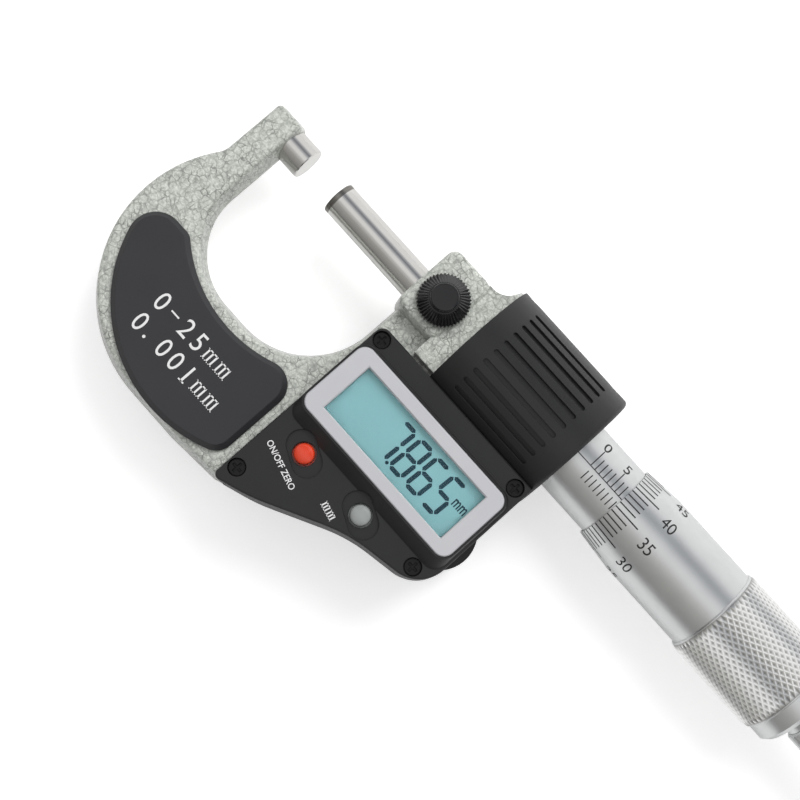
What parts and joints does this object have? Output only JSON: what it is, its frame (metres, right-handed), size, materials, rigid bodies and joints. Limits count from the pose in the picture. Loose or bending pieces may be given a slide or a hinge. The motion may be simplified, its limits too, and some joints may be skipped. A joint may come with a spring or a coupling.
{
  "type": "digital outside micrometer",
  "caption": "Digital outside micrometer with a C-shaped enamelled frame, anvil and spindle, clamp knob, angled black display housing with two push buttons, and graduated sleeve and thimble.",
  "frame": {"origin": "centre of the anvil's measuring face, on the spindle axis", "axes": "+X along the spindle from the anvil towards the thimble, +Y from the push buttons to the spindle, +Z out of the display"},
  "size_m": [0.1608, 0.0634, 0.0258],
  "materials": {
    "enamel": "glossy hammertone enamel",
    "ground_steel": "ground",
    "satin_chrome": "satin",
    "carbide": "ground",
    "housing_black": "fine satin",
    "grip_black": "satin",
    "knob_black": "satin",
    "bezel_grey": "satin",
    "clear_window": "clear",
    "display_glass": "satin",
    "holder_white": "satin",
    "board_green": "satin",
    "cell_steel": "satin",
    "black_screw": "black oxide",
    "brass": "turned",
    "button_red": "satin",
    "button_grey": "satin",
    "seal_rubber": "matte"
  },
  "bodies": {
    "frame_unit": {"frame": "enamel", "anvil": "ground_steel", "front_housing": "housing_black", "rear_housing": "housing_black", "front_pad": "grip_black", "rear_pad": "grip_black", "display_bezel": "bezel_grey", "display_window": "clear_window", "lcd_glass": "display_glass", "lcd_holder": "holder_white", "circuit_board": "board_green", "button_switches": "holder_white", "encoder_stator": "board_green", "nut_sleeve": "ground_steel", "adjusting_nut": "ground_steel", "sleeve": "satin_chrome", "battery": "cell_steel", "battery_contact": "ground_steel", "housing_screws": "black_screw", "rear_screws": "black_screw"},
    "encoder_disc": {"encoder_rotor": "brass", "rotor_key": "ground_steel"},
    "spindle_unit": {"spindle": "ground_steel", "spindle_tip": "carbide", "thimble": "satin_chrome", "stop_plate": "satin_chrome", "stop_screw": "ground_steel", "stop_spring": "ground_steel"},
    "stop_grip": {"stop_knob": "satin_chrome"},
    "clamp_shoe": {"lock_shoe": "brass"},
    "clamp_grip": {"lock_knob": "knob_black", "lock_screw": "ground_steel"},
    "power_button_unit": {"power_button": "button_red"},
    "unit_button_unit": {"unit_button": "button_grey"},
    "battery_cap_unit": {"battery_cap": "housing_black", "cap_seal": "seal_rubber"}
  },
  "joints": [
    {"name": "spindle_turn", "type": "hinge", "parent": "frame_unit", "child": "encoder_disc", "pos_m": [0.05, 0, 0], "axis": [1, 0, 0], "range_deg": [-5662.9, 12337.3]},
    {"name": "spindle_travel", "type": "slide", "parent": "encoder_disc", "child": "spindle_unit", "axis": [1, 0, 0], "range_m": [-0.00787, 0.01714]},
    {"name": "stop_turn", "type": "hinge", "parent": "spindle_unit", "child": "stop_grip", "pos_m": [0.138, 0, 0], "axis": [1, 0, 0], "continuous": true},
    {"name": "lock_advance", "type": "slide", "parent": "frame_unit", "child": "clamp_shoe", "axis": [0, 0, -1], "range_m": [-0.000175, 0.0001166]},
    {"name": "lock_turn", "type": "hinge", "parent": "clamp_shoe", "child": "clamp_grip", "pos_m": [0.0352, 0, 0.01], "axis": [0, 0, -1], "range_deg": [-90.1, 60.1]},
    {"name": "power_press", "type": "slide", "parent": "frame_unit", "child": "power_button_unit", "axis": [0, 0, -1], "range_m": [0, 0.0004], "stiffness_N_per_m": 600, "springref_m": -0.0005},
    {"name": "unit_press", "type": "slide", "parent": "frame_unit", "child": "unit_button_unit", "axis": [0, 0, -1], "range_m": [0, 0.0004], "stiffness_N_per_m": 600, "springref_m": -0.0005},
    {"name": "battery_cap_turn", "type": "hinge", "parent": "frame_unit", "child": "battery_cap_unit", "pos_m": [0.064, -0.026, -0.0117], "axis": [0, 0, -1], "range_deg": [0, 45]}
  ],
  "couplings": [
    {"joint": "spindle_turn", "follows": "spindle_travel", "rad_per_m": 12566},
    {"joint": "lock_turn", "follows": "lock_advance", "rad_per_m": 8976}
  ]
}
